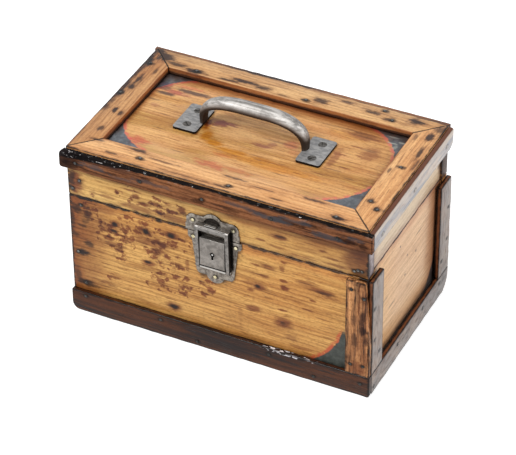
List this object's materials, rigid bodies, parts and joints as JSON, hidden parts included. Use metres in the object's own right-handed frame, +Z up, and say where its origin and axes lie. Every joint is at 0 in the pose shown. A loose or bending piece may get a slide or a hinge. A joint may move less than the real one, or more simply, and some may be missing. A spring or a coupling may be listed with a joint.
{
  "type": "wooden parts chest",
  "caption": "Small nailed pine chest with a hinged lid, dark outer strips, a steel carrying handle on top and a hasp lock on the front.",
  "frame": {"origin": "centre of the chest's underside, on the surface that it stands on", "axes": "+Z up, +X to the right along the front, and the front faces -Y"},
  "size_m": [0.3103, 0.1918, 0.2125],
  "materials": {
    "pine": "old varnish over knotty pine, with brown stains",
    "frame_pine": "old varnish over orange pine, rubbed edges",
    "dark_strip": "dark brown glossy varnish, worn edges",
    "handle_steel": "dull worn steel",
    "lock_steel": "dull worn steel",
    "hinge_steel": "dull worn steel",
    "screw_steel": "dull worn steel",
    "nail_steel": "dark iron, a little polished",
    "brass_nail": "pale rubbed brass",
    "bolt_brass": "rubbed brass"
  },
  "bodies": {
    "box": {"bottom_board": "pine", "front_board": "pine", "back_board": "pine", "left_end_board": "pine", "right_end_board": "pine", "front_rail": "dark_strip", "front_stile": "dark_strip", "end_rail": "dark_strip", "end_stile_front": "dark_strip", "end_stile_back": "dark_strip", "board_nails": "nail_steel", "strip_nails": "nail_steel", "lock_plate": "lock_steel", "lock_plate_nails": "brass_nail", "lock_case": "lock_steel", "key_post": "lock_steel", "bolt_spring": "lock_steel", "hasp_pin": "lock_steel", "hinge_body_leaf_left": "hinge_steel", "hinge_body_leaf_right": "hinge_steel", "hinge_pin_left": "hinge_steel", "hinge_pin_right": "hinge_steel", "hinge_body_screws": "screw_steel"},
    "lid": {"lid_top_board": "pine", "lid_front_board": "pine", "lid_back_board": "pine", "lid_left_board": "pine", "lid_right_board": "pine", "frame_front": "frame_pine", "frame_back": "frame_pine", "frame_left": "frame_pine", "frame_right": "frame_pine", "fascia_front": "dark_strip", "fascia_right": "dark_strip", "fascia_back": "dark_strip", "fascia_left": "dark_strip", "lid_nails": "nail_steel", "frame_nails": "nail_steel", "fascia_nails": "nail_steel", "handle": "handle_steel", "handle_screws": "screw_steel", "catch_plate": "lock_steel", "catch_nails": "brass_nail", "hinge_lid_leaf_left": "hinge_steel", "hinge_lid_leaf_right": "hinge_steel", "hinge_lid_screws": "screw_steel"},
    "hasp": {"lock_hasp": "lock_steel"},
    "bolt": {"lock_bolt": "bolt_brass"}
  },
  "joints": [
    {"name": "lid_hinge", "type": "hinge", "parent": "box", "child": "lid", "pos_m": [0, 0.09205, 0.13025], "axis": [-1, 0, 0], "range_deg": [0, 180]},
    {"name": "hasp_hinge", "type": "hinge", "parent": "box", "child": "hasp", "pos_m": [0, -0.0929, 0.0961], "axis": [1, 0, 0], "range_deg": [0, 170]},
    {"name": "bolt_slide", "type": "slide", "parent": "box", "child": "bolt", "axis": [1, 0, 0], "range_m": [0, 0.0022]}
  ]
}
